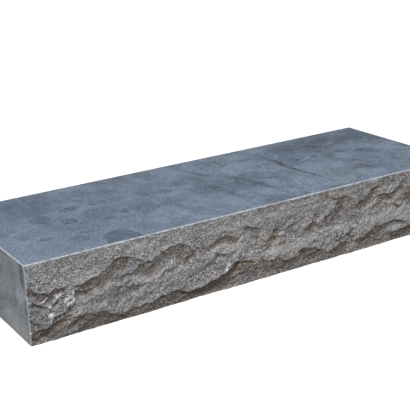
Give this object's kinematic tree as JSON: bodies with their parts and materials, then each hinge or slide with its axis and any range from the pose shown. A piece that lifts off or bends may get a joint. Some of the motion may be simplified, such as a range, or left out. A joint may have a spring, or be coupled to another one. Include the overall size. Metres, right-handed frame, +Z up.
{
  "type": "stair step block",
  "caption": "Solid blue limestone block step with a smooth tread, sawn bed, back and ends, and a split rock-face riser, laid in a mortar bed to build an outdoor stair.",
  "frame": {"origin": "middle of the sawn bed, halfway along the length and halfway from the back to the front arris", "axes": "+X along the step towards its right end, +Y towards the back, +Z up; the split front looks towards -Y"},
  "size_m": [1, 0.358, 0.15],
  "materials": {
    "stone": "blue-grey limestone: honed tread, sawn ends and back, rough split front"
  },
  "bodies": {
    "root": {"step_block": "stone"}
  },
  "joints": []
}
